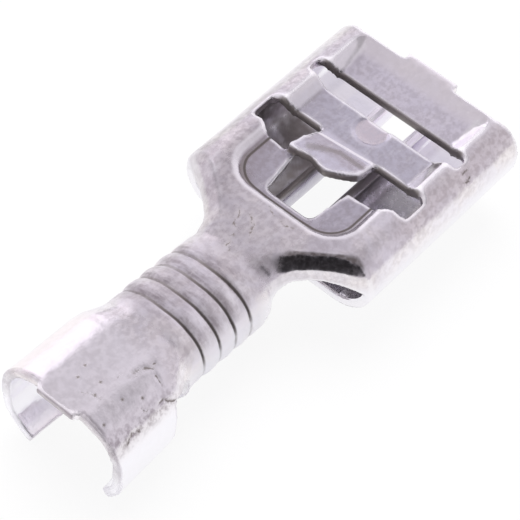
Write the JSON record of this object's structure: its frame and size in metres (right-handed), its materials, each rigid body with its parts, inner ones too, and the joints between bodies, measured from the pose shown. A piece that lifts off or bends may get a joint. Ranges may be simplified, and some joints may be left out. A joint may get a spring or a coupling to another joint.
{
  "type": "female spade terminal",
  "caption": "Uninsulated female spade terminal folded from one metal sheet: a receptacle with two side rolls and a locking tongue, then a grooved wire crimp and an insulation crimp.",
  "frame": {"origin": "centre of the bounding box in plan, at the height of the lowest edge of the insulation crimp's wings", "axes": "+X along the terminal towards the mating end, +Y across it, +Z out of the base's outer face, which is the face on top in the picture"},
  "size_m": [0.019, 0.008, 0.0043],
  "materials": {
    "tinned_brass": "tin plated, satin"
  },
  "bodies": {
    "root": {"terminal_body": "tinned_brass"}
  },
  "joints": []
}
